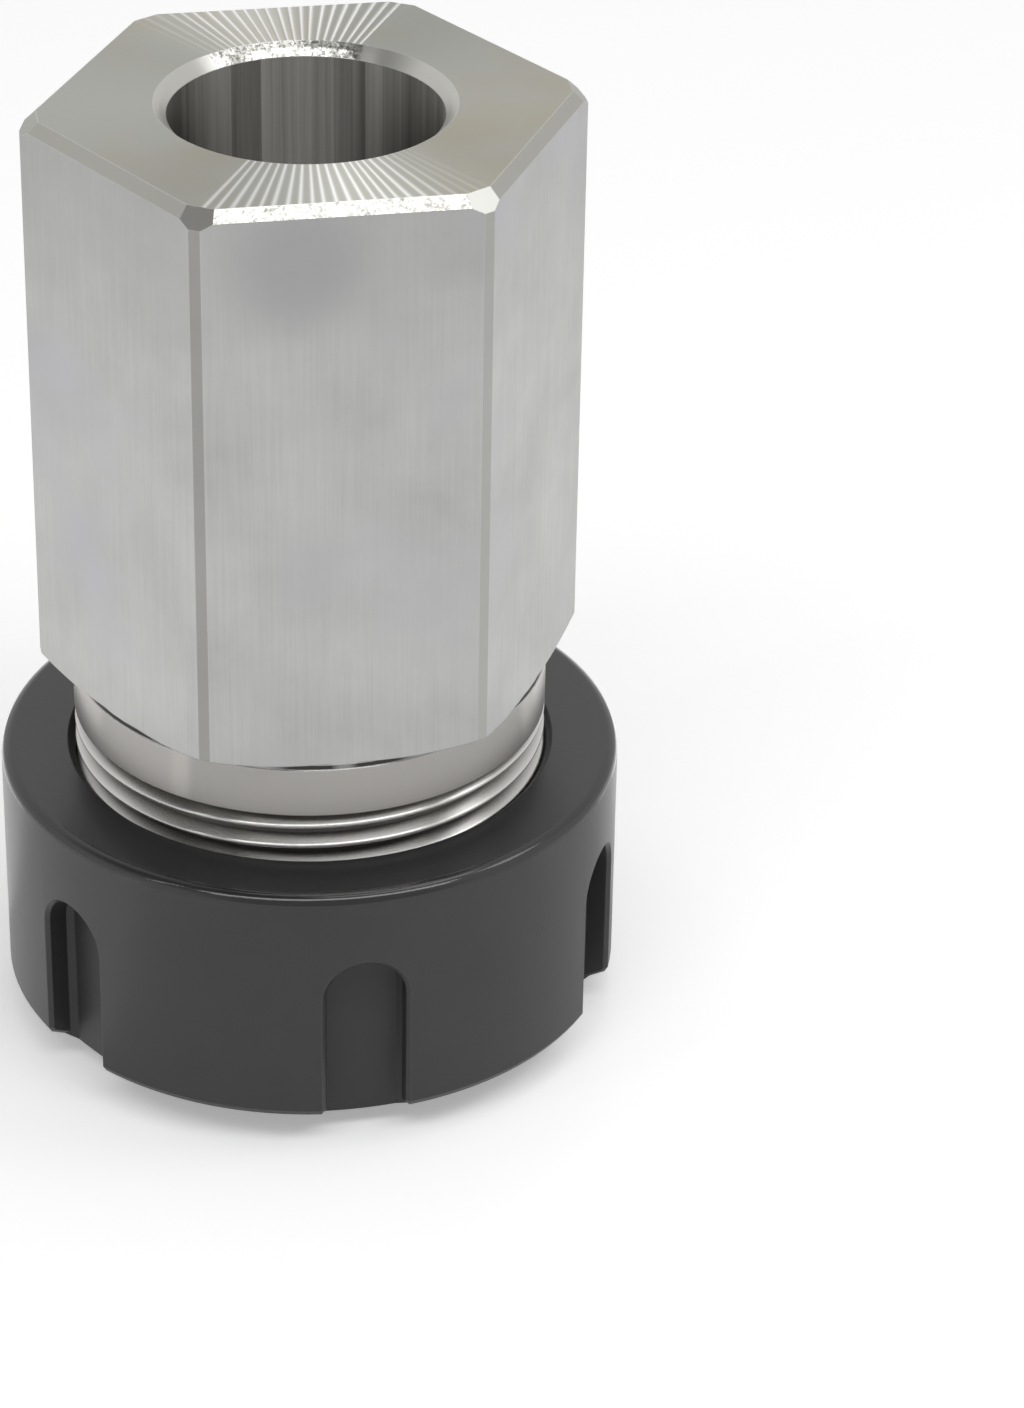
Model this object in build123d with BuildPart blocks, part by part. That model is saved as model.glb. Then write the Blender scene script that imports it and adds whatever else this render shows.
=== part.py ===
from build123d import *
from math import cos, hypot, radians, sin, tan
import os

# A hexagonal collet block that stands on its clamping nut, with a spring collet inside.
# Millimetres, +Z up. The origin is the centre of the nut's nose face, and the block's
# front flat looks along -Y.

# Spring collet, slit from both ends so that it closes evenly
collet_length = 34.0
collet_large_end = 26.0
collet_wall = 5.0
taper_angle = 8.0
flange_width = 3.1
flange_angle = 30.0
flange_cone = 2.0
groove_width = 1.9
groove_flare = 1.66
groove_depth = 2.0
collet_edge_break = 0.3
slit_pairs = 8
slit_width = 0.8
slit_bridge = 7.0

# Thread between nut and block, whose helix is a surface detail of both pieces
thread_major = 32.0
thread_depth = 0.9
thread_allowance = 0.1

# Clamping nut, turned from bar, with six spanner slots
nut_diameter = 42.0
nut_height = 20.0
nose_diameter = 32.0
nose_angle = 30.0
nose_edge_break = 0.2
rear_round = 0.8
rear_round_cuts = 2
nut_turn = 1.95
slot_count = 6
slot_width = 5.4
slot_depth = 2.2
slot_height = 14.55
slot_floor_edge = 0.4
slot_break = 0.28

# Inside of the nut: seat and eccentric extractor lip for the collet, then the thread
collet_recess = 0.35
seat_clearance = 0.03
pocket_clearance = 0.3
lip_play = 0.3
lip_thickness = 1.4
lip_bite = 1.2
lip_offset = 0.7
cavity_clearance = 0.8
cavity_height = 1.45
thread_relief_width = 1.8
thread_relief_depth = 0.2
thread_entry = 0.5

# Hexagonal block, turned and milled from one bar
across_flats = 31.75
corner_flat = 0.46
block_length = 55.75
top_chamfer = 0.7
corner_facet = 1.1
neck_length = 15.84
thread_length = 12.4
thread_lead_in = 0.6
undercut_width = 0.42
undercut_depth = 0.06
shoulder_angle = 30.0
shoulder_ease = 0.7
through_bore = 17.7
rim_width = 0.8
rim_depth = 0.78
rim_inner_width = 0.42
rim_outer_depth = 0.34
mouth_chamfer = 0.3
collet_stand_out = 3.75
taper_clearance = 0.03

os.makedirs("parts", exist_ok=True)


def slope(angle):
    """Rise per millimetre of run for an angle in degrees."""
    return tan(radians(angle))


def axis_distance(edge):
    """Distance of an edge's middle from the common axis."""
    middle = edge.center()
    return hypot(middle.X, middle.Y)


# Collet outline: a flange with a seating cone, a groove behind it, then the long taper
collet_radius = collet_large_end / 2
collet_bore_radius = collet_radius - collet_wall
face_radius = collet_radius - flange_cone * slope(flange_angle)
groove_radius = collet_radius - groove_depth
flange_corner = collet_recess + flange_cone
flange_top = collet_recess + flange_width
groove_top = flange_top + groove_width
taper_bottom = groove_top + groove_flare
collet_top = collet_recess + collet_length
small_end_radius = collet_radius - (collet_top - taper_bottom) * slope(taper_angle)
slit_length = collet_length - slit_bridge
slit_reach = collet_wall + 2 * slit_width
slit_radius = collet_bore_radius + collet_wall / 2
slit_turn = 360 / slit_pairs / 2

# Spring collet
with BuildPart() as spring_collet:
    with BuildSketch(Plane.XZ):
        with BuildLine():
            Polyline(
                (collet_bore_radius + collet_edge_break, collet_recess),
                (face_radius, collet_recess),
                (collet_radius, flange_corner),
                (collet_radius, flange_top),
                (groove_radius, flange_top),
                (groove_radius, groove_top),
                (collet_radius, taper_bottom),
                (small_end_radius, collet_top),
                (collet_bore_radius + collet_edge_break, collet_top),
                (collet_bore_radius, collet_top - collet_edge_break),
                (collet_bore_radius, collet_recess + collet_edge_break),
                close=True,
            )
        make_face()
    revolve(axis=Axis.Z)
    with BuildSketch(Plane.XY.offset(collet_recess)):
        with PolarLocations(slit_radius, slit_pairs):
            Rectangle(slit_reach, slit_width)
    extrude(amount=slit_length, mode=Mode.SUBTRACT)
    with BuildSketch(Plane.XY.offset(collet_top)):
        with PolarLocations(slit_radius, slit_pairs, start_angle=slit_turn):
            Rectangle(slit_reach, slit_width)
    extrude(amount=-slit_length, mode=Mode.SUBTRACT)
spring_collet.part.label = "spring_collet"

# Nut sizes, with the inside worked out from the collet's flange and the thread
nut_radius = nut_diameter / 2
nose_height = (nut_diameter - nose_diameter) / 2 * slope(nose_angle)
rear_rim = [
    (
        nut_radius - rear_round * (1 - cos(radians(90 * cut / rear_round_cuts))),
        nut_height - rear_round * (1 - sin(radians(90 * cut / rear_round_cuts))),
    )
    for cut in range(rear_round_cuts + 1)
]
slot_floor = nut_radius - slot_depth
seat_radius = face_radius + seat_clearance
pocket_radius = collet_radius + pocket_clearance
pocket_bottom = collet_recess + (pocket_radius - seat_radius) / slope(flange_angle)
lip_bottom = flange_top + lip_play
lip_top = lip_bottom + lip_thickness
lip_radius = collet_radius - lip_bite + lip_offset
cavity_radius = collet_radius + cavity_clearance
relief_bottom = lip_top + cavity_height
relief_radius = thread_major / 2 + thread_relief_depth
thread_start = relief_bottom + thread_relief_width

# Cutter for one spanner slot: round-topped, open through the nose, with a bevelled floor
slot_plane = Plane(origin=(slot_floor, 0, 0), x_dir=(0, 1, 0), z_dir=(1, 0, 0))
with BuildPart() as slot_cutter:
    with BuildSketch(slot_plane):
        with Locations((0, slot_height - slot_width / 2)):
            Circle(slot_width / 2)
            Rectangle(slot_width, nut_height, align=(Align.CENTER, Align.MAX))
    extrude(amount=nut_radius)
    floor_edges = slot_cutter.faces().sort_by(Axis.X)[0].edges()
    chamfer(floor_edges.sort_by(Axis.Z)[1:], slot_floor_edge)

# Clamping nut
with BuildPart() as clamping_nut:
    with BuildSketch(Plane.XZ):
        with BuildLine():
            Polyline(
                (0, 0),
                (nose_diameter / 2, 0),
                (nut_radius, nose_height),
                *rear_rim,
                (0, nut_height),
                close=True,
            )
        make_face()
    revolve(axis=Axis.Z)
    with PolarLocations(0, slot_count, start_angle=nut_turn - 90):
        add(slot_cutter.part, mode=Mode.SUBTRACT)
    slot_rims = clamping_nut.edges(Select.LAST).filter_by(
        lambda edge: axis_distance(edge) > nut_radius - slot_depth / 2
    )
    chamfer(slot_rims, slot_break)
    with BuildSketch(Plane.XZ):
        with BuildLine():
            Polyline(
                (0, 0),
                (seat_radius + nose_edge_break, 0),
                (seat_radius, nose_edge_break),
                (seat_radius, collet_recess),
                (pocket_radius, pocket_bottom),
                (pocket_radius, lip_bottom),
                (0, lip_bottom),
                close=True,
            )
        make_face()
    revolve(axis=Axis.Z, mode=Mode.SUBTRACT)
    with BuildSketch(Plane.XY.offset(lip_bottom)):
        with Locations((lip_offset, 0)):
            Circle(lip_radius)
    extrude(amount=lip_thickness, mode=Mode.SUBTRACT)
    with BuildSketch(Plane.XZ):
        with BuildLine():
            Polyline(
                (0, lip_top),
                (cavity_radius, lip_top),
                (cavity_radius, relief_bottom),
                (relief_radius, relief_bottom),
                (relief_radius, thread_start),
                (thread_major / 2, thread_start),
                (thread_major / 2, nut_height - thread_entry),
                (thread_major / 2 + thread_entry, nut_height),
                (0, nut_height),
                close=True,
            )
        make_face()
    revolve(axis=Axis.Z, mode=Mode.SUBTRACT)
clamping_nut.part.label = "clamping_nut"

# Block sizes: its taper rests on the collet's, which fixes how high the block stands
mouth_height = taper_bottom + collet_stand_out
mouth_radius = collet_radius + taper_clearance - collet_stand_out * slope(taper_angle)
bore_radius = through_bore / 2
taper_end = mouth_height + (mouth_radius - bore_radius) / slope(taper_angle)
block_top = mouth_height + block_length
corner_radius = across_flats / 2 / cos(radians(30))
root_radius = thread_major / 2 - thread_depth
neck_radius = (thread_major - thread_allowance) / 2
thread_top = mouth_height + thread_length
neck_top = mouth_height + neck_length
undercut_radius = neck_radius - undercut_depth
shoulder_bottom = neck_top + undercut_width
shoulder_bend = undercut_radius + shoulder_ease
shoulder_rim = corner_radius + shoulder_ease
shoulder_top = shoulder_bottom + (shoulder_rim - shoulder_bend) * slope(shoulder_angle)

# Hexagonal block
with BuildPart() as hex_block:
    with BuildSketch(Plane.XY.offset(neck_top)) as bar_section:
        RegularPolygon(across_flats / 2, 6, major_radius=False)
        chamfer(bar_section.vertices(), corner_flat)
    extrude(amount=block_top - neck_top)
    top_edges = hex_block.faces().sort_by(Axis.Z)[-1].edges()
    chamfer(top_edges.group_by(SortBy.LENGTH)[0], corner_facet)
    top_edges = hex_block.faces().sort_by(Axis.Z)[-1].edges()
    chamfer(top_edges.group_by(SortBy.LENGTH)[-1], top_chamfer)
    with BuildSketch(Plane.XZ):
        with BuildLine():
            undercut = Line((undercut_radius, neck_top), (undercut_radius, shoulder_bottom))
            shoulder = Bezier(undercut @ 1, (shoulder_bend, shoulder_bottom), (shoulder_rim, shoulder_top))
            Polyline(
                shoulder @ 1,
                (shoulder_rim, block_top),
                (0, block_top),
                (0, neck_top),
                undercut @ 0,
            )
        make_face()
    revolve(axis=Axis.Z, mode=Mode.INTERSECT)
    with BuildSketch(Plane.XZ):
        with BuildLine():
            Polyline(
                (0, mouth_height),
                (root_radius - thread_lead_in, mouth_height),
                (root_radius, mouth_height + thread_lead_in),
                (root_radius, thread_top),
                (neck_radius, thread_top),
                (neck_radius, neck_top),
                (0, neck_top),
                close=True,
            )
        make_face()
    revolve(axis=Axis.Z)
    with BuildSketch(Plane.XZ):
        with BuildLine():
            Polyline(
                (0, mouth_height),
                (mouth_radius + mouth_chamfer, mouth_height),
                (mouth_radius - mouth_chamfer * slope(taper_angle), mouth_height + mouth_chamfer),
                (bore_radius, taper_end),
                (bore_radius, block_top - rim_depth),
                (bore_radius + rim_inner_width, block_top - rim_outer_depth),
                (bore_radius + rim_width, block_top),
                (0, block_top),
                close=True,
            )
        make_face()
    revolve(axis=Axis.Z, mode=Mode.SUBTRACT)
hex_block.part.label = "hex_block"

export_step(spring_collet.part, "parts/spring_collet.step")
export_step(clamping_nut.part, "parts/clamping_nut.step")
export_step(hex_block.part, "parts/hex_block.step")
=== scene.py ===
import bpy
from math import cos, pi, radians, sin, tan
from mathutils import Matrix, Vector


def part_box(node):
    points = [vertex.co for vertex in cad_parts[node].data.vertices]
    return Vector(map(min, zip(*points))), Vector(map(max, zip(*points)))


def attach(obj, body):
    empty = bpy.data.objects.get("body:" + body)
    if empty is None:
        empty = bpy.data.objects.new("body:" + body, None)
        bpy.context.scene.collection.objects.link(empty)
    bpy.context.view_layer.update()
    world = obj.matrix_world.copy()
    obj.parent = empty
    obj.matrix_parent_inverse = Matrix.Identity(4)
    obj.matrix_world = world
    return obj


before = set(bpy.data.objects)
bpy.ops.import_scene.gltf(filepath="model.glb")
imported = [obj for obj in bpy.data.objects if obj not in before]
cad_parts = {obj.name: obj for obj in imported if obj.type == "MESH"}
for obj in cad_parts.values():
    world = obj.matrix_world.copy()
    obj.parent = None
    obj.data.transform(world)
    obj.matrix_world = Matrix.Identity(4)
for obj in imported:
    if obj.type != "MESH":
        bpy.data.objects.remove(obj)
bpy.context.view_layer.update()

# The spring collet sits in the block's taper: a hardened spring-steel sleeve, ground on its
# cones and in its bore, and slit from both ends. It is bright steel, and mostly hidden.
MM = 0.001


def linear(hex_colour):
    """An sRGB hex colour as the linear RGBA that Blender's sockets take."""
    channels = [int(hex_colour[i:i + 2], 16) / 255 for i in (1, 3, 5)]
    return [c / 12.92 if c <= 0.04045 else ((c + 0.055) / 1.055) ** 2.4 for c in channels] + [1]


def new_material(name):
    """An empty node material, and the tree that its nodes go into."""
    material = bpy.data.materials.new(name)
    material.use_nodes = True
    material.node_tree.nodes.clear()
    return material, material.node_tree


def add(tree, kind, inputs=(), **settings):
    """Adds one node. An input takes a value, a hex colour, a socket or a node's live output."""
    node = tree.nodes.new("ShaderNode" + kind)
    for name, value in settings.items():
        setattr(node, name, value)
    for name, value in dict(inputs).items():
        live = [socket for socket in node.inputs if socket.enabled and socket.name == name]
        socket = live[0] if live else node.inputs[name]
        if isinstance(value, bpy.types.Node):
            value = next(output for output in value.outputs if output.enabled)
        if isinstance(value, bpy.types.NodeSocket):
            tree.links.new(value, socket)
        else:
            socket.default_value = linear(value) if isinstance(value, str) else value
    return node


def dress(node_name, material):
    """Puts one material on all of a CAD node."""
    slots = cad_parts[node_name].data.materials
    slots.clear()
    slots.append(material)


collet_tone = "#A8A7A4"
collet_stain = "#8E8C88"
collet_stain_size = 3 * MM
collet_rough = 0.28

# The grinding rings are drawn coarser than the real ones, so that they show
ring_size = 0.12 * MM
ring_relief = 0.01 * MM
ring_strength = 0.15

# Ground spring steel: a bright, fairly clear mirror, broken by fine rings from grinding and
# by the oil film's slightly darker patches
spring_steel, tree = new_material("ground_spring_steel")
place = add(tree, "TexCoord").outputs["Object"]
patches = add(tree, "TexNoise", {"Vector": place, "Scale": 1 / collet_stain_size, "Detail": 3})
tone = add(tree, "Mix", {"Factor": patches, "A": collet_tone, "B": collet_stain}, data_type="RGBA")
rings = add(tree, "VectorMath", {0: place, 1: (0, 0, 1)}, operation="MULTIPLY")
rings = add(tree, "TexNoise", {"Vector": rings, "Scale": 1 / ring_size, "Detail": 2})
ring_bump = add(tree, "Bump", {
    "Height": rings, "Strength": ring_strength, "Distance": ring_relief,
})
shader = add(tree, "BsdfPrincipled", {
    "Base Color": tone, "Metallic": 1, "Roughness": collet_rough, "Normal": ring_bump,
})
add(tree, "OutputMaterial", {"Surface": shader})
dress("spring_collet", spring_steel)

# The clamping nut is turned from bar, slotted for a hook spanner and blackened in hot salts.
# The coat is satin, nearly black, and takes pale soft reflections at its edges and limbs.
nut_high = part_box("clamping_nut")[1]
nut_radius = nut_high[0]
nut_top = nut_high[2]
rear_round = 0.8 * MM
edge_round = 0.12 * MM
slot_start = 0.35 * MM

# The coat's tones and roughness: on the wall, in the slots, on the rear face and on its round
black_coat = "#2F2F30"
black_coat_worn = "#3D3D3E"
edge_tone = "#4A4A4A"
slot_tone = "#353536"
rear_tone = "#272728"
coat_rough = 0.34
slot_rough = 0.45
rear_rough = 0.28
round_rough = 0.07
coat_shine = 0.5
rear_shine = 0.62

# Its clouds and its turning have the real ones' size, and its grain is drawn coarser to show
coat_cloud_size = 9 * MM
coat_cloud_break = 0.6
coat_grain_size = 0.22 * MM
turning_step = 0.18 * MM
turning_stretch = 0.02
turning_share = 0.6
coat_relief = 0.022 * MM
coat_relief_strength = 0.25

# Black oxide on steel: a satin, nearly black skin that shows the fine turning under it
black_steel, tree = new_material("black_oxide_steel")
coordinates = add(tree, "TexCoord")
place = coordinates.outputs["Object"]
split_place = add(tree, "SeparateXYZ", {0: place})
height = split_place.outputs["Z"]
upness = add(tree, "SeparateXYZ", {0: coordinates.outputs["Normal"]}).outputs["Z"]
clouds = add(tree, "TexNoise", {
    "Vector": place, "Scale": 1 / coat_cloud_size, "Detail": 4, "Roughness": coat_cloud_break,
})
grain = add(tree, "TexNoise", {"Vector": place, "Scale": 1 / coat_grain_size, "Detail": 2})
turning = add(
    tree, "VectorMath", {0: place, 1: (turning_stretch, turning_stretch, 1)}, operation="MULTIPLY",
)
turning = add(tree, "TexNoise", {"Vector": turning, "Scale": 1 / turning_step, "Detail": 2})
relief = add(tree, "Math", {0: turning, 1: turning_share, 2: grain}, operation="MULTIPLY_ADD")

# The rear edge's round gets a normal of its own, so that it is smooth over the CAD's facets
outward = add(tree, "VectorMath", {0: place, 1: (1, 1, 0)}, operation="MULTIPLY")
distance = add(tree, "VectorMath", {0: outward}, operation="LENGTH")
across = add(tree, "Math", {0: distance, 1: nut_radius - rear_round}, operation="SUBTRACT")
above = add(tree, "Math", {0: height, 1: nut_top - rear_round}, operation="SUBTRACT")
past_wall = add(tree, "Math", {0: across, 1: 0}, operation="GREATER_THAN")
past_rear = add(tree, "Math", {0: above, 1: 0}, operation="GREATER_THAN")
in_round = add(tree, "Math", {0: past_wall, 1: past_rear}, operation="MULTIPLY")
direction = add(tree, "VectorMath", {0: outward}, operation="NORMALIZE")
sideways = add(tree, "VectorMath", {0: direction, "Scale": across}, operation="SCALE")
upward = add(tree, "CombineXYZ", {"Z": above})
round_normal = add(tree, "VectorMath", {0: sideways, 1: upward})
round_normal = add(
    tree, "VectorTransform", {0: round_normal},
    vector_type="NORMAL", convert_from="OBJECT", convert_to="WORLD",
)

# The coat is thinner and paler on sharp edges, and duller in the slots
worn_from = 0.995
worn_to = 0.94
soft_edges = add(tree, "Bevel", {"Radius": edge_round}, samples=6)
true_normal = add(tree, "NewGeometry").outputs["Normal"]
edge_turn = add(tree, "VectorMath", {0: soft_edges, 1: true_normal}, operation="DOT_PRODUCT")
edge_wear_and_highlight = add(tree, "MapRange", {"Value": edge_turn, "From Min": worn_from, "From Max": worn_to})
off_round = add(tree, "Math", {0: 1, 1: in_round}, operation="SUBTRACT")
edge_wear_and_highlight = add(tree, "Math", {0: edge_wear_and_highlight, 1: off_round}, operation="MULTIPLY")
inside_wall = add(tree, "Math", {0: distance, 1: nut_radius - slot_start}, operation="LESS_THAN")
below_rear = add(tree, "Math", {0: height, 1: nut_top - rear_round}, operation="LESS_THAN")
in_slot = add(tree, "Math", {0: inside_wall, 1: below_rear}, operation="MULTIPLY")
faces_up_from = 0.9
faces_up = add(tree, "Math", {0: upness, 1: faces_up_from}, operation="GREATER_THAN")
at_rear = add(tree, "Math", {0: height, 1: nut_top - rear_round / 2}, operation="GREATER_THAN")
on_rear = add(tree, "Math", {0: faces_up, 1: at_rear}, operation="MULTIPLY")
coat = black_coat
for mask, over in (
    (clouds, black_coat_worn), (edge_wear_and_highlight, edge_tone), (in_slot, slot_tone), (on_rear, rear_tone),
):
    coat = add(tree, "Mix", {"Factor": mask, "A": coat, "B": over}, data_type="RGBA")
rough = coat_rough
for mask, over in ((on_rear, rear_rough), (in_round, round_rough), (in_slot, slot_rough)):
    rough = add(tree, "Mix", {"Factor": mask, "A": rough, "B": over}, data_type="FLOAT")
shine = add(
    tree, "Mix", {"Factor": on_rear, "A": coat_shine, "B": rear_shine}, data_type="FLOAT",
)
normal = add(
    tree, "Mix", {"Factor": in_round, "A": soft_edges, "B": round_normal}, data_type="VECTOR",
)
normal = add(tree, "VectorMath", {0: normal}, operation="NORMALIZE")
coat_bump = add(tree, "Bump", {
    "Height": relief, "Strength": coat_relief_strength, "Distance": coat_relief, "Normal": normal,
})
shader = add(tree, "BsdfPrincipled", {
    "Base Color": coat, "Metallic": 0, "Roughness": rough, "Specular IOR Level": shine,
    "Normal": coat_bump,
})
add(tree, "OutputMaterial", {"Surface": shader})
dress("clamping_nut", black_steel)

# The thread is cut on both pieces: 1.5 mm pitch, 60 degree flanks, right-handed. Each ridge
# follows a helix on its own piece, and the two mesh with a little play.
thread_pitch = 1.5 * MM
flank = tan(radians(30))
crest_round = 0.05 * MM
flank_end = 0.12 * MM
steps_a_turn = 120
fade_steps = steps_a_turn // 6
faded_width = 0.3
sharp_from = radians(40)

# The angle and height where the photographed thread's ridge passes, on the block's front
thread_angle = radians(-10.4)
ridge_height = 22.26 * MM


def helix_ridge(name, base, crest, crest_width, first_height, last_height, height_limit):
    """A thread's ridge from its base radius to its crest radius, along a right-hand helix."""
    outwards = 1 if crest > base else -1
    half_crest = crest_width / 2
    half_base = half_crest + abs(crest - base) * flank
    soft = crest - outwards * crest_round
    flat = crest - outwards * flank_end
    upper = [
        (crest, half_crest - crest_round), (soft, half_crest + crest_round * flank),
        (flat, half_crest + flank_end * flank), (base, half_base),
    ]
    profile = [(radius, -offset) for radius, offset in reversed(upper)] + upper
    steps = int((last_height - first_height) / thread_pitch * steps_a_turn)
    vertices, faces = [], []
    for step in range(steps + 1):
        angle = thread_angle + 2 * pi * step / steps_a_turn
        middle = first_height + thread_pitch * step / steps_a_turn
        tallness = min(1, step / fade_steps, (steps - step) / fade_steps)
        for radius, offset in profile:
            z = middle + offset * (faded_width + (1 - faded_width) * tallness)
            r = height_limit(base + (radius - base) * tallness, z)
            vertices.append((r * sin(angle), -r * cos(angle), z))
    rows = len(profile)
    for step in range(steps):
        for row in range(rows - 1):
            a = step * rows + row
            face = (a, a + rows, a + rows + 1, a + 1)
            faces.append(face if outwards > 0 else (a, a + 1, a + rows + 1, a + rows))
    mesh = bpy.data.meshes.new(name)
    mesh.from_pydata(vertices, [], faces)
    mesh.update()
    mesh.shade_smooth()
    mesh.set_sharp_from_angle(angle=sharp_from)
    ridge = bpy.data.objects.new(name, mesh)
    bpy.context.scene.collection.objects.link(ridge)
    return ridge


def inside_neck(r, z):
    """The block's ridge needs no limit: it runs into the neck."""
    return r


def outside_entry(r, z):
    """The nut's ridge is cut back by the chamfer at the thread's entry."""
    return max(r, nut_entry_radius - (nut_top - z))


block_low, block_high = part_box("hex_block")
block_foot = block_low[2]
neck_thread_top = block_foot + 12.4 * MM
neck_root_radius = 15.05 * MM
neck_crest_radius = 15.94 * MM
neck_crest_width = thread_pitch / 8
foot_margin = 0.9 * MM
turns_below = int((ridge_height - block_foot - foot_margin) / thread_pitch)
run_out = 0.5 * MM
block_thread = helix_ridge(
    "block_thread", neck_root_radius, neck_crest_radius, neck_crest_width,
    ridge_height - turns_below * thread_pitch, neck_thread_top + run_out, inside_neck,
)

# The nut's ridge runs half a pitch beside the block's, in its groove
nut_root_radius = 16.05 * MM
nut_crest_radius = 15.19 * MM
nut_crest_width = thread_pitch / 4
nut_entry_radius = 16.5 * MM
entry_margin = 0.3 * MM
nut_turns_below = 9
nut_thread = helix_ridge(
    "nut_thread", nut_root_radius, nut_crest_radius, nut_crest_width,
    ridge_height - nut_turns_below * thread_pitch + thread_pitch / 2, nut_top - entry_margin,
    outside_entry,
)
nut_thread.data.materials.append(black_steel)
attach(nut_thread, "nut")

# The block is one piece of bright bar: hexagon ground along its length, end face, neck and
# bore turned. Fine lines follow the cutting, so each face smears the light its own way.
neck_top = block_foot + 15.84 * MM
block_top = block_high[2]
corner_distance = 17.9 * MM
chamfer_zone = 1.3 * MM
rim_limit = 14 * MM

# Bright steel, ground and turned: a satin mirror whose highlights stretch across its cuts
bright_steel, tree = new_material("ground_and_turned_steel")
coordinates = add(tree, "TexCoord")
place = coordinates.outputs["Object"]
facing = coordinates.outputs["Normal"]
split_place = add(tree, "SeparateXYZ", {0: place})
split_facing = add(tree, "SeparateXYZ", {0: facing})
east, north, height = (split_place.outputs[axis] for axis in "XYZ")
eastness, northness, upness = (split_facing.outputs[axis] for axis in "XYZ")
outward = add(tree, "VectorMath", {0: place, 1: (1, 1, 0)}, operation="MULTIPLY")
distance = add(tree, "VectorMath", {0: outward}, operation="LENGTH")
radial = add(tree, "VectorMath", {0: outward}, operation="NORMALIZE")
outwardness = add(tree, "VectorMath", {0: facing, 1: radial}, operation="DOT_PRODUCT")

# Zones, by place and by the way a surface faces: the hexagon's sides, its corner flats, the
# end face, its chamfers with the corner facets between them, the bore and the thread
faces_out_from = 0.5
faces_square_from = 0.95
faces_in_below = -0.9
upright_below = 0.1
slope_from = 0.3
level_from = 0.97
aside_from = 0.2
far_aside_from = 0.5
on_hexagon = add(tree, "Math", {0: height, 1: neck_top}, operation="GREATER_THAN")
looks_out = add(tree, "Math", {0: outwardness, 1: faces_out_from}, operation="GREATER_THAN")
upright = add(tree, "Math", {0: upness, 1: upright_below}, operation="LESS_THAN")
sides = add(tree, "Math", {0: on_hexagon, 1: looks_out}, operation="MULTIPLY")
sides = add(tree, "Math", {0: sides, 1: upright}, operation="MULTIPLY")
far_out = add(tree, "Math", {0: distance, 1: corner_distance}, operation="GREATER_THAN")
squarely_out = add(tree, "Math", {0: outwardness, 1: faces_square_from}, operation="GREATER_THAN")
corners = add(tree, "Math", {0: far_out, 1: squarely_out}, operation="MULTIPLY")
end_face = add(tree, "Math", {0: upness, 1: level_from}, operation="GREATER_THAN")
sloping = add(tree, "Math", {0: upness, 1: slope_from}, operation="GREATER_THAN")
near_top = add(tree, "Math", {0: height, 1: block_top - chamfer_zone}, operation="GREATER_THAN")
chamfers = add(tree, "Math", {0: sloping, 1: end_face}, operation="SUBTRACT")
chamfers = add(tree, "Math", {0: chamfers, 1: near_top}, operation="MULTIPLY")
aside = add(tree, "Math", {0: eastness}, operation="ABSOLUTE")
turned_aside = add(tree, "Math", {0: aside, 1: aside_from}, operation="GREATER_THAN")
facing_front = add(tree, "Math", {0: aside, 1: far_aside_from}, operation="LESS_THAN")
beyond_rim = add(tree, "Math", {0: distance, 1: rim_limit}, operation="GREATER_THAN")
off_front = add(tree, "Math", {0: turned_aside, 1: beyond_rim}, operation="MULTIPLY")
corner_facets = add(tree, "Math", {0: off_front, 1: facing_front}, operation="MULTIPLY")
looks_in = add(tree, "Math", {0: outwardness, 1: faces_in_below}, operation="LESS_THAN")
on_thread = add(tree, "Math", {0: height, 1: neck_thread_top}, operation="LESS_THAN")

# Rays of the facing tool's chatter in two opposite sectors of the end face: they are cut as a
# small relief, and painted pale as a painted highlight.
# Each sector has a soft edge, from the half-angle where it ends to the one where it is full.
rays_a_turn = 128
first_ray = 0.7
ray_wander = 0.06
ray_wander_scale = 5
ray_sharpness = 6
rays_bearing = 1
rays_edge = (33, 30)
strong_rays_bearing = -8
strong_rays_edge = (36, 22)
faint_rays = 0.2


def near_axis(bearing_degrees, faint, full):
    """A soft mask of two opposite sectors round a bearing, from a faint to a full half-angle."""
    axis = (sin(radians(bearing_degrees)), -cos(radians(bearing_degrees)), 0)
    along = add(tree, "VectorMath", {0: radial, 1: axis}, operation="DOT_PRODUCT")
    along = add(tree, "Math", {0: along}, operation="ABSOLUTE")
    return add(tree, "MapRange", {
        "Value": along, "From Min": cos(radians(faint)), "From Max": cos(radians(full)),
    }, interpolation_type="SMOOTHSTEP")


bearing = add(tree, "Math", {0: north, 1: east}, operation="ARCTAN2")
wander = add(tree, "TexNoise", {"Vector": radial, "Scale": ray_wander_scale, "Detail": 2})
bearing = add(tree, "Math", {0: wander, 1: ray_wander, 2: bearing}, operation="MULTIPLY_ADD")
ray_phase = pi / 2 - radians(first_ray) * rays_a_turn / 2
rays = add(tree, "Math", {0: bearing, 1: rays_a_turn / 2, 2: ray_phase}, operation="MULTIPLY_ADD")
rays = add(tree, "Math", {0: rays}, operation="SINE")
rays = add(tree, "Math", {0: rays}, operation="ABSOLUTE")
rays = add(tree, "Math", {0: rays, 1: ray_sharpness}, operation="POWER")
sector = near_axis(rays_bearing, *rays_edge)
strong = near_axis(strong_rays_bearing, *strong_rays_edge)
strong = add(tree, "MapRange", {"Value": strong, "To Min": faint_rays})
ray_relief_and_highlight = add(tree, "Math", {0: rays, 1: sector}, operation="MULTIPLY")
ray_relief_and_highlight = add(tree, "Math", {0: ray_relief_and_highlight, 1: strong}, operation="MULTIPLY")
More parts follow.
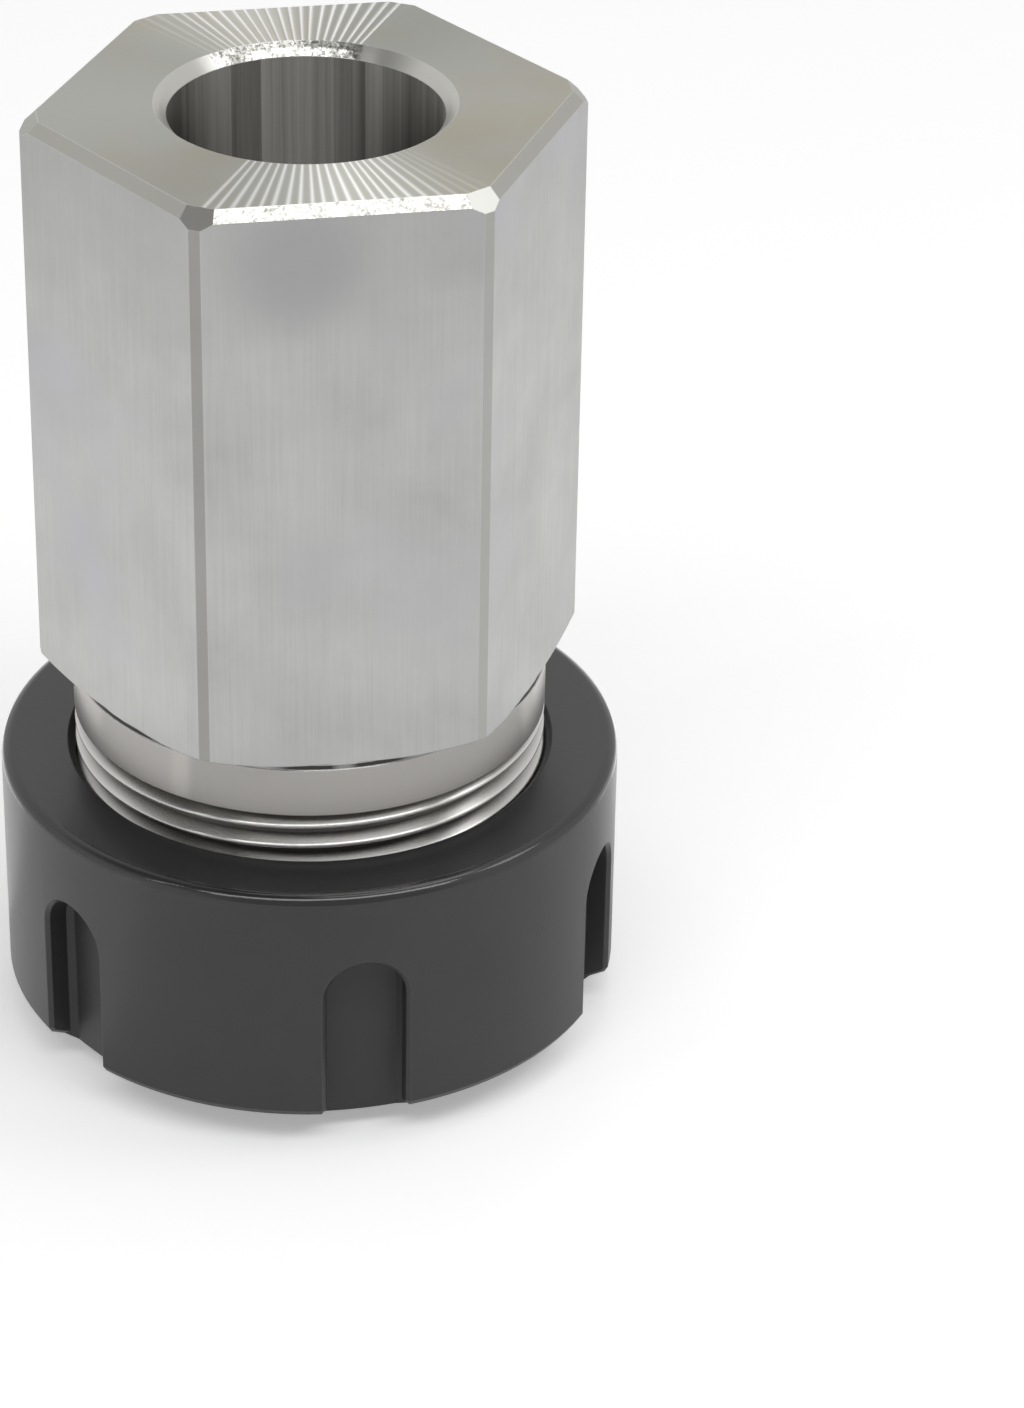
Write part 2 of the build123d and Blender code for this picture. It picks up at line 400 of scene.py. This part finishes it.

# The ground sides: cloudy patches that handling and coolant leave, over the brushing. They are
# painted darker towards the top, as painted shade, except on the right side, and a darker blotch
# lies under the front chamfer. The brushing and the grinding lines are drawn coarser than the real
# grit's, so that they show.
steel_tone = "#D1D1CE"
steel_stain = "#C6C6C4"
steel_tint = "#CBCBCD"
steel_shade = "#BDBDBB"
blotch_tone = "#B8B8B9"
cloud_size = 7 * MM
cloud_break = 0.6
cloud_middle = 0.5
brush_width = 0.5 * MM
brush_length = 14 * MM
brush_share = 0.25
grind_line = 0.16 * MM
grind_length = 9 * MM
grind_share = 0.36
patch_from = 0.37
patch_to = 0.63
tint_size = 12 * MM
tint_from = 0.5
tint_to = 0.7
shade_length = 12 * MM
shade_full = 2 * MM
shade_most = 0.45
blotch_x = -2.6 * MM
blotch_below_top = 3.6 * MM
blotch_radius = 6 * MM
blotch_core = 1.5 * MM
blotch_wander = 7 * MM
faces_front_below = -0.9
clouds = add(tree, "TexNoise", {
    "Vector": place, "Scale": 1 / cloud_size, "Detail": 5, "Roughness": cloud_break,
})
brush_stretch = (1, 1, brush_width / brush_length)
brushed = add(tree, "VectorMath", {0: place, 1: brush_stretch}, operation="MULTIPLY")
brushed = add(tree, "TexNoise", {"Vector": brushed, "Scale": 1 / brush_width, "Detail": 4})
grind_stretch = (1, 1, grind_line / grind_length)
grinding = add(tree, "VectorMath", {0: place, 1: grind_stretch}, operation="MULTIPLY")
grinding = add(tree, "TexNoise", {"Vector": grinding, "Scale": 1 / grind_line, "Detail": 3})
patches = clouds
for share, finer in ((brush_share, brushed), (grind_share, grinding)):
    patches = add(tree, "Mix", {"Factor": share, "A": patches, "B": finer}, data_type="FLOAT")
patches = add(tree, "MapRange", {"Value": patches, "From Min": patch_from, "From Max": patch_to})
tints = add(tree, "TexNoise", {"Vector": place, "Scale": 1 / tint_size, "Detail": 2})
tints = add(tree, "MapRange", {"Value": tints, "From Min": tint_from, "From Max": tint_to})
shade = add(tree, "MapRange", {
    "Value": height, "From Min": block_top - shade_length, "From Max": block_top - shade_full,
    "To Max": shade_most,
})
not_right = add(tree, "Math", {0: eastness, 1: far_aside_from}, operation="LESS_THAN")
shade = add(tree, "Math", {0: shade, 1: not_right}, operation="MULTIPLY")
blotch_centre = (blotch_x, 0, block_top - blotch_below_top)
from_blotch = add(tree, "VectorMath", {0: place, 1: blotch_centre}, operation="SUBTRACT")
from_blotch = add(tree, "VectorMath", {0: from_blotch, 1: (1, 0, 1)}, operation="MULTIPLY")
from_blotch = add(tree, "VectorMath", {0: from_blotch}, operation="LENGTH")
blotch_edge = add(tree, "Math", {0: clouds, 1: cloud_middle}, operation="SUBTRACT")
blotch_edge = add(
    tree, "Math", {0: blotch_edge, 1: blotch_wander, 2: from_blotch}, operation="MULTIPLY_ADD",
)
blotch = add(tree, "MapRange", {
    "Value": blotch_edge, "From Min": blotch_radius, "From Max": blotch_core,
}, interpolation_type="SMOOTHSTEP")
faces_front = add(tree, "Math", {0: northness, 1: faces_front_below}, operation="LESS_THAN")
blotch = add(tree, "Math", {0: blotch, 1: faces_front}, operation="MULTIPLY")
ground = steel_tone
for mask, over in (
    (patches, steel_stain), (tints, steel_tint), (shade, steel_shade), (blotch, blotch_tone),
):
    ground = add(tree, "Mix", {"Factor": mask, "A": ground, "B": over}, data_type="RGBA")

# The end face is a little yellower in places, and takes the rays' painted highlight. The thread is
# painted dark at its roots, as painted shade, and pale at its crests, as painted highlight, and
# the milled corner flats are painted darker at the left and paler at the right, as painted shade
# and painted light.
face_tone = "#B7B7B0"
face_tint = "#B6B1A2"
ray_highlight_tone = "#F2F2F0"
thread_root_shade_tone = "#7A7773"
thread_crest_highlight_tone = "#DEDDDA"
left_corner_shade_tone = "#AEADA9"
right_corner_light_tone = "#C2C2BE"
end_tone = face_tone
for mask, over in ((tints, face_tint), (ray_relief_and_highlight, ray_highlight_tone)):
    end_tone = add(tree, "Mix", {"Factor": mask, "A": end_tone, "B": over}, data_type="RGBA")
crest_share = add(tree, "MapRange", {
    "Value": distance, "From Min": neck_root_radius, "From Max": neck_crest_radius,
})
thread_tone = add(tree, "Mix", {
    "Factor": crest_share, "A": thread_root_shade_tone, "B": thread_crest_highlight_tone,
}, data_type="RGBA")
right_half = add(tree, "Math", {0: east, 1: 0}, operation="GREATER_THAN")
corner_light_and_shade = add(tree, "Mix", {
    "Factor": right_half, "A": left_corner_shade_tone, "B": right_corner_light_tone,
}, data_type="RGBA")

# The bore gets upright bands of painted reflection, set by bearing, with random streaks over them.
# Each band starts at a bearing in degrees from the bore's back, with its share of the light tone.
bore_dark = "#7C7975"
bore_reflected_light = "#D2D0CA"
bore_reflection_bands = (
    (-52, 0.3), (-38, 0.42), (-26, 0.15), (-12, 0.6),
    (19, 0.28), (33, 0.95), (42, 0.65), (52, 0.4),
)
bore_streak = 1.1 * MM
bore_streak_break = 0.75
bore_streak_stretch = 0.01
streak_from = 0.3
streak_to = 0.7
streak_share = 0.3
from_back = add(tree, "Math", {0: east, 1: north}, operation="ARCTAN2")
from_back_share = add(tree, "MapRange", {"Value": from_back, "From Min": -pi, "From Max": pi})
reflection_bands = add(tree, "ValToRGB", {"Fac": from_back_share})
reflection_bands.color_ramp.interpolation = "CONSTANT"
reflection_bands.color_ramp.elements.remove(reflection_bands.color_ramp.elements[1])
reflection_bands.color_ramp.elements[0].color = (0, 0, 0, 1)
for bearing_degrees, share in bore_reflection_bands:
    stop = reflection_bands.color_ramp.elements.new((180 + bearing_degrees) / 360)
    stop.color = (share, share, share, 1)
streaks = add(tree, "VectorMath", {0: place, 1: (1, 1, bore_streak_stretch)}, operation="MULTIPLY")
streaks = add(tree, "TexNoise", {
    "Vector": streaks, "Scale": 1 / bore_streak, "Detail": 5, "Roughness": bore_streak_break,
})
streaks = add(tree, "MapRange", {
    "Value": streaks, "From Min": streak_from, "From Max": streak_to,
    "To Min": -streak_share, "To Max": streak_share,
})
reflection_and_streaks = add(tree, "Math", {0: reflection_bands, 1: streaks}, operation="ADD", use_clamp=True)
bore_tone = add(
    tree, "Mix", {"Factor": reflection_and_streaks, "A": bore_dark, "B": bore_reflected_light}, data_type="RGBA",
)

# In the same two sectors the chamfers are bright metal with grey marks painted between, as painted
# shade that breaks their highlight into glints; the marks are drawn as coarse as they need to be
# to show
bevel_tone = "#B8B7B0"
rim_tone = "#D0CFC9"
bevel_shade_grey = "#8E8E8A"
bevel_mark = 0.22 * MM
bevel_mark_from = 0.45
bevel_mark_to = 0.6
bevel_colour = rim_tone
for mask, over in ((beyond_rim, bevel_tone), (corner_facets, corner_light_and_shade)):
    bevel_colour = add(
        tree, "Mix", {"Factor": mask, "A": bevel_colour, "B": over}, data_type="RGBA",
    )
marked = add(tree, "Math", {0: chamfers, 1: off_front}, operation="SUBTRACT", use_clamp=True)
marked = add(tree, "Math", {0: marked, 1: sector}, operation="MULTIPLY")
bevel_marks = add(tree, "TexNoise", {"Vector": place, "Scale": 1 / bevel_mark, "Detail": 2})
bevel_shade_marks = add(tree, "MapRange", {
    "Value": bevel_marks, "From Min": bevel_mark_from, "From Max": bevel_mark_to,
})
bevel_shade_marks = add(tree, "Math", {0: bevel_shade_marks, 1: marked}, operation="MULTIPLY")

# Under each side, the undercut is painted dark, as painted shade, as far as it shows, less in the
# middle of the front and the back
undercut_shade_tone = "#4A4845"
undercut_edge = 15.92 * MM
undercut_shade_foot = 0.05 * MM
undercut_shade_height = 0.34 * MM
side_turn = pi / 6
undercut_shade_full_turn = radians(13)
undercut_shade_end_turn = radians(20)
undercut_shade_gap = 0.3 * MM
undercut_shade_gap_end = 0.9 * MM
undercut_shade_in_gap = 0.5
in_undercut = add(tree, "Math", {0: distance, 1: undercut_edge}, operation="LESS_THAN")
above_ledge = add(tree, "Math", {0: height, 1: neck_top + undercut_shade_foot}, operation="GREATER_THAN")
below_shoulder = add(tree, "Math", {0: height, 1: neck_top + undercut_shade_height}, operation="LESS_THAN")
off_middle = add(tree, "Math", {0: from_back, 1: side_turn}, operation="PINGPONG")
beside = add(tree, "Math", {0: east}, operation="ABSOLUTE")
undercut_shade_start = add(tree, "MapRange", {
    "Value": beside, "From Min": undercut_shade_gap, "From Max": undercut_shade_gap_end, "To Min": undercut_shade_in_gap,
})
undercut_shade_end = add(tree, "MapRange", {
    "Value": off_middle, "From Min": undercut_shade_end_turn, "From Max": undercut_shade_full_turn,
})
undercut_shade = undercut_shade_start
for mask in (undercut_shade_end, in_undercut, above_ledge, below_shoulder, looks_out):
    undercut_shade = add(tree, "Math", {0: undercut_shade, 1: mask}, operation="MULTIPLY")

# Sharp edges are painted paler, as a painted highlight along the bare metal
edge_highlight_tone = "#DADAD8"
block_edge_round = 0.08 * MM
edge_highlight_from = 0.999
edge_highlight_to = 0.975
soft_edges = add(tree, "Bevel", {"Radius": block_edge_round}, samples=6)
true_normal = add(tree, "NewGeometry").outputs["Normal"]
edge_turn = add(tree, "VectorMath", {0: soft_edges, 1: true_normal}, operation="DOT_PRODUCT")
edge_wear_and_highlight = add(tree, "MapRange", {
    "Value": edge_turn, "From Min": edge_highlight_from, "From Max": edge_highlight_to,
})
turned_tone = "#B5B2AE"
tone = turned_tone
for mask, over in (
    (on_thread, thread_tone), (sides, ground), (corners, corner_light_and_shade), (end_face, end_tone),
    (looks_in, bore_tone), (chamfers, bevel_colour), (bevel_shade_marks, bevel_shade_grey),
    (undercut_shade, undercut_shade_tone), (edge_wear_and_highlight, edge_highlight_tone),
):
    tone = add(tree, "Mix", {"Factor": mask, "A": tone, "B": over}, data_type="RGBA")

# Cutting lines, as real heights: along the length on the sides, round the axis elsewhere,
# and the fine chatter that fans the end face's highlight out in rays
grind_depth = 0.003 * MM
facing_line = 0.2 * MM
facing_depth = 0.002 * MM
chatter_depth = 0.012 * MM
bevel_mark_depth = 0.002 * MM
ground_lines = add(tree, "Math", {0: grinding, 1: grind_depth}, operation="MULTIPLY")
rings = add(tree, "CombineXYZ", {"X": distance, "Y": height})
rings = add(tree, "TexNoise", {"Vector": rings, "Scale": 1 / facing_line, "Detail": 3})
rings = add(tree, "Math", {0: rings, 1: facing_depth}, operation="MULTIPLY")
chatter = add(tree, "Math", {0: ray_relief_and_highlight, 1: chatter_depth}, operation="MULTIPLY")
chatter = add(tree, "Math", {0: chatter, 1: end_face}, operation="MULTIPLY")
turned_lines = add(tree, "Math", {0: chatter, 1: rings}, operation="ADD")
bevel_lines = add(tree, "Math", {0: bevel_marks, 1: bevel_mark_depth}, operation="MULTIPLY")
bevel_lines = add(tree, "Math", {0: bevel_lines, 1: marked}, operation="MULTIPLY")
turned_lines = add(tree, "Math", {0: bevel_lines, 1: turned_lines}, operation="ADD")
lines = add(
    tree, "Mix", {"Factor": sides, "A": turned_lines, "B": ground_lines}, data_type="FLOAT",
)

# Bars of the burnished chamfers, each tipped a little up or down, which scatter the light
bevel_bar = 0.35 * MM
bar_radius = 12 * MM
bar_from = 0.3
bar_to = 0.7
bar_tilt = 0.1
bar_round = add(tree, "VectorMath", {0: radial, "Scale": bar_radius}, operation="SCALE")
bar_height = add(tree, "CombineXYZ", {"Z": height})
bars = add(tree, "VectorMath", {0: bar_round, 1: bar_height})
bars = add(tree, "TexNoise", {"Vector": bars, "Scale": 1 / bevel_bar, "Detail": 2})
bars = add(tree, "MapRange", {
    "Value": bars, "From Min": bar_from, "From Max": bar_to,
    "To Min": -bar_tilt, "To Max": bar_tilt,
})
bars = add(tree, "Math", {0: bars, 1: marked}, operation="MULTIPLY")
tipped = add(tree, "CombineXYZ", {"Z": bars})
tipped = add(tree, "VectorMath", {0: soft_edges, 1: tipped})
tipped = add(tree, "VectorMath", {0: tipped}, operation="NORMALIZE")
bump = add(tree, "Bump", {"Height": lines, "Strength": 1, "Distance": 1, "Normal": tipped})

# Roughness: satin where ground, clearer where turned, clearest where burnished
ground_rough_least = 0.38
ground_rough_most = 0.46
cloud_from = 0.3
cloud_to = 0.7
turned_rough = 0.24
bevel_rough = 0.32
burnished_rough = 0.17
bore_rough = 0.5
face_rough = 0.34
thread_rough = 0.25
ground_rough = add(tree, "MapRange", {
    "Value": clouds, "From Min": cloud_from, "From Max": cloud_to,
    "To Min": ground_rough_least, "To Max": ground_rough_most,
})
chamfer_rough = add(
    tree, "Mix", {"Factor": marked, "A": bevel_rough, "B": burnished_rough}, data_type="FLOAT",
)
rough = turned_rough
for mask, over in (
    (sides, ground_rough), (chamfers, chamfer_rough), (looks_in, bore_rough),
    (end_face, face_rough), (on_thread, thread_rough),
):
    rough = add(tree, "Mix", {"Factor": mask, "A": rough, "B": over}, data_type="FLOAT")

# The lines' tilt spreads reflections across them: sideways on the ground sides, and along
# the axis or the radius where the surface was turned
lines_spread = 0.93
axis_share = 2.5
sideways = add(tree, "VectorMath", {0: (0, 0, 1), 1: radial}, operation="CROSS_PRODUCT")
lengthways = add(tree, "VectorMath", {0: radial, 1: (0, 0, axis_share)})
spread = add(
    tree, "Mix", {"Factor": sides, "A": lengthways, "B": sideways}, data_type="VECTOR",
)
spread = add(
    tree, "VectorTransform", {0: spread},
    vector_type="VECTOR", convert_from="OBJECT", convert_to="WORLD",
)
shader = add(tree, "BsdfPrincipled", {
    "Base Color": tone, "Metallic": 1, "Roughness": rough, "Anisotropic": lines_spread,
    "Tangent": spread, "Normal": bump,
})
add(tree, "OutputMaterial", {"Surface": shader})
dress("hex_block", bright_steel)
block_thread.data.materials.append(bright_steel)
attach(block_thread, "block")

# The floor is a plain white sweep that keeps the block's soft shadow, and whitens far away.
# What the metal mirrors of it differs by bearing, as the unseen studio's cards and gaps did.
floor_size = 3.0
floor_white = "#F4F4F4"
floor_rough = 0.9
camera_lift = 0.32
far_white = 0.75
far_start = 0.22
far_end = 0.6

# The mirrored floor's levels, from a bearing in degrees on, 0 in front and 90 at the right
left_lift = 0.28
strip_lift = 0.4
front_lift = 0.1
gap_lift = 0.1
right_lift = 0.42
mirrored_zones = ((-69, strip_lift), (-61, front_lift), (74, gap_lift), (100, right_lift))
fade_start = 100 * MM
fade_end = 170 * MM
faded = 0.45

# A brighter patch close behind, which the nut's limbs mirror
behind_lift = 0.5
behind_from = radians(115)
behind_start = 60 * MM
behind_full = 48 * MM

floor_mesh = bpy.data.meshes.new("studio_floor")
half = floor_size / 2
floor_corners = [(-half, -half, 0), (half, -half, 0), (half, half, 0), (-half, half, 0)]
floor_mesh.from_pydata(floor_corners, [], [(0, 1, 2, 3)])
floor = bpy.data.objects.new("studio_floor", floor_mesh)
bpy.context.scene.collection.objects.link(floor)

# A matt white sweep: soft and even, with no gloss
matt_white, tree = new_material("matt_white_sweep")
seen = add(tree, "LightPath")
glossy_ray = seen.outputs["Is Glossy Ray"]
seen_directly = add(
    tree, "Math", {0: seen.outputs["Is Camera Ray"], 1: seen.outputs["Is Transmission Ray"]},
    operation="MAXIMUM",
)
place = add(tree, "TexCoord").outputs["Object"]
spot = add(tree, "SeparateXYZ", {0: place})
forward = add(tree, "Math", {0: spot.outputs["Y"], 1: -1}, operation="MULTIPLY")
bearing = add(tree, "Math", {0: spot.outputs["X"], 1: forward}, operation="ARCTAN2")
turned_back = add(tree, "Math", {0: bearing}, operation="ABSOLUTE")
turned_back = add(tree, "Math", {0: turned_back, 1: behind_from}, operation="GREATER_THAN")
bearing = add(tree, "MapRange", {"Value": bearing, "From Min": -pi, "From Max": pi})
mirrored = add(tree, "ValToRGB", {"Fac": bearing})
mirrored.color_ramp.interpolation = "CONSTANT"
stops = mirrored.color_ramp.elements
stops.remove(stops[1])
stops[0].color = (left_lift, left_lift, left_lift, 1)
for bearing_degrees, lift in mirrored_zones:
    stop = stops.new((180 + bearing_degrees) / 360)
    stop.color = (lift, lift, lift, 1)
away = add(tree, "VectorMath", {0: place}, operation="LENGTH")
fading = add(tree, "MapRange", {
    "Value": away, "From Min": fade_start, "From Max": fade_end, "To Min": 1, "To Max": faded,
})
mirrored = add(tree, "Math", {0: mirrored, 1: fading}, operation="MULTIPLY")
close_by = add(tree, "MapRange", {
    "Value": away, "From Min": behind_full, "From Max": behind_start,
    "To Min": behind_lift, "To Max": 0,
})
close_by = add(tree, "Math", {0: close_by, 1: turned_back}, operation="MULTIPLY")
mirrored = add(tree, "Math", {0: mirrored, 1: close_by}, operation="ADD")
mirrored = add(tree, "Math", {0: mirrored, 1: glossy_ray}, operation="MULTIPLY")
whitening = add(tree, "MapRange", {
    "Value": away, "From Min": far_start, "From Max": far_end,
    "To Min": camera_lift, "To Max": camera_lift + far_white,
})
glow = add(tree, "Math", {0: seen_directly, 1: whitening, 2: mirrored}, operation="MULTIPLY_ADD")
shader = add(tree, "BsdfPrincipled", {
    "Base Color": floor_white, "Roughness": floor_rough, "Emission Color": (1, 1, 1, 1),
    "Emission Strength": glow,
})
add(tree, "OutputMaterial", {"Surface": shader})
floor_mesh.materials.append(matt_white)

# Studio light: a white tent, which metal mirrors dimmer at its left, near the zenith and low
# in front, and five soft lamps. The broad front one lights the end face's rays and the glints.
tent_level = 0.35
white_level = 1.0
mirrored_level = 0.8
left_level = 0.2
panel_share = 0.3
low_front_share = 0.35

# The dimmer zones: each has a middle, in degrees, and the cosines of its edge and its core
left_middle = (-70, 58)
left_cosines = (0.75, 0.95)
panel_middle = (-110, 82)
panel_cosines = (cos(radians(12)), cos(radians(8)))
low_front_middle = (0, 15)
low_front_cosines = (0.6, 0.85)


def heading(azimuth, elevation):
    """The direction from the block to an azimuth, 0 in front and 90 at the right, in degrees."""
    turn, rise = radians(azimuth), radians(elevation)
    return Vector((sin(turn) * cos(rise), -cos(turn) * cos(rise), sin(rise)))


def tent_zone(middle, cosines, outside, inside):
    """A level that changes from outside to inside a round zone of the tent."""
    nearness = add(tree, "VectorMath", {0: toward, 1: heading(*middle)}, operation="DOT_PRODUCT")
    return add(tree, "MapRange", {
        "Value": nearness, "From Min": cosines[0], "From Max": cosines[1],
        "To Min": outside, "To Max": inside,
    })


world = bpy.data.worlds.new("white_tent")
world.use_nodes = True
world.node_tree.nodes.clear()
tree = world.node_tree
seen = add(tree, "LightPath")
glossy_ray = seen.outputs["Is Glossy Ray"]
seen_directly = add(
    tree, "Math", {0: seen.outputs["Is Camera Ray"], 1: seen.outputs["Is Transmission Ray"]},
    operation="MAXIMUM",
)
toward = add(tree, "TexCoord").outputs["Generated"]
mirrored = tent_zone(left_middle, left_cosines, mirrored_level, left_level)
for zone in (
    tent_zone(panel_middle, panel_cosines, 1, panel_share),
    tent_zone(low_front_middle, low_front_cosines, 1, low_front_share),
):
    mirrored = add(tree, "Math", {0: mirrored, 1: zone}, operation="MULTIPLY")
level = tent_level
for ray, over in ((glossy_ray, mirrored), (seen_directly, white_level)):
    level = add(tree, "Mix", {"Factor": ray, "A": level, "B": over}, data_type="FLOAT")
background = add(tree, "Background", {"Color": (1, 1, 1, 1), "Strength": level})
add(tree, "OutputWorld", {"Surface": background})
bpy.context.scene.world = world


def soft_light(name, azimuth, elevation, distance, width, height, watts):
    """A rectangular lamp, in degrees and metres, that looks at the block's middle."""
    data = bpy.data.lights.new(name, "AREA")
    data.shape = "RECTANGLE"
    data.size = width
    data.size_y = height
    data.energy = watts
    lamp = bpy.data.objects.new(name, data)
    middle = Vector((0, 0, block_top / 2))
    lamp.location = middle + distance * heading(azimuth, elevation)
    lamp.rotation_euler = (lamp.location - middle).to_track_quat("Z", "Y").to_euler()
    bpy.context.scene.collection.objects.link(lamp)


soft_light("overhead_softbox", 100, 75, 0.7, 0.2, 0.36, 0.36)
soft_light("front_softbox", 0.5, 60, 0.7, 0.93, 0.2, 2.3)
soft_light("back_softbox", 162.4, 60, 0.8, 0.12, 0.2, 0.2)
soft_light("right_softbox", 84, 46, 0.7, 0.2, 0.2, 0.3)
soft_light("left_strip", -68, 40, 0.7, 0.03, 0.3, 0.1)

# The camera stands where the photograph's perspective puts it, in front and well above.
camera_place = Vector((-37.73, -270.30, 186.58)) * MM
view_pitch = radians(-31.07)
view_yaw = radians(10.83)
view_roll = radians(1.106)
frame_width = 36
lens_length = 164.59
nearest_seen = 10 * MM

look = Vector((sin(view_yaw) * cos(view_pitch), cos(view_yaw) * cos(view_pitch), sin(view_pitch)))
level_right = Vector((cos(view_yaw), -sin(view_yaw), 0))
level_up = level_right.cross(look)
right = cos(view_roll) * level_right + sin(view_roll) * level_up
up = cos(view_roll) * level_up - sin(view_roll) * level_right
camera_data = bpy.data.cameras.new("camera")
camera_data.sensor_fit = "HORIZONTAL"
camera_data.sensor_width = frame_width
camera_data.lens = lens_length
camera_data.clip_start = nearest_seen
camera = bpy.data.objects.new("camera", camera_data)
turned = Matrix((right, up, -look)).transposed().to_4x4()
camera.matrix_world = Matrix.Translation(camera_place) @ turned
bpy.context.scene.collection.objects.link(camera)
bpy.context.scene.camera = camera
bpy.context.scene.view_settings.view_transform = "Standard"
